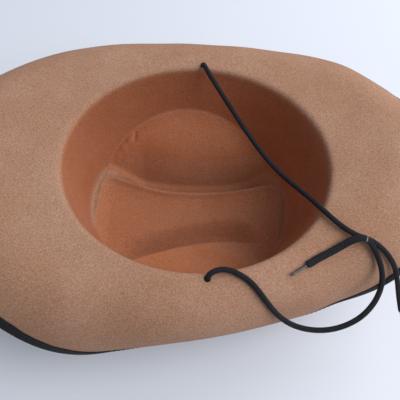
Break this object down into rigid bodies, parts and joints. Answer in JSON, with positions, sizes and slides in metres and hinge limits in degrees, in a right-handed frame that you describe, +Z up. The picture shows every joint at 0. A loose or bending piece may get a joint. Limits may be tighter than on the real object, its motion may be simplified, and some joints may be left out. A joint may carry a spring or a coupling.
{
  "type": "felt cowboy hat with a chin cord",
  "caption": "Felt cowboy hat lying upside down on its creased crown: brim rolled up at both sides with a black bound edge, and a braided chin cord through holes at the brim break.",
  "frame": {"origin": "on the surface the crown rests on, under the middle of the hat's box in plan, free cord left out", "axes": "+Z up out of the head opening (the hat stands upside down), +X towards the front of the hat, +Y towards the wearer's side that is far in the rest pose"},
  "size_m": [0.3873, 0.2672, 0.1171],
  "materials": {
    "felt": "matte",
    "tape": "matte",
    "thread": "satin",
    "wire": "satin",
    "cord": "satin",
    "core": "satin",
    "staple": "satin"
  },
  "bodies": {
    "root": {"felt_body": "felt", "edge_binding": "tape", "needle_thread": "thread", "bobbin_thread": "thread", "brim_wire": "wire", "brim_wire_sleeve": "wire", "crown_cord": "cord", "chin_cord_far": "cord", "chin_cord_near": "cord", "cord_core_far": "core", "cord_core_near": "core", "cord_staple": "staple"}
  },
  "joints": []
}
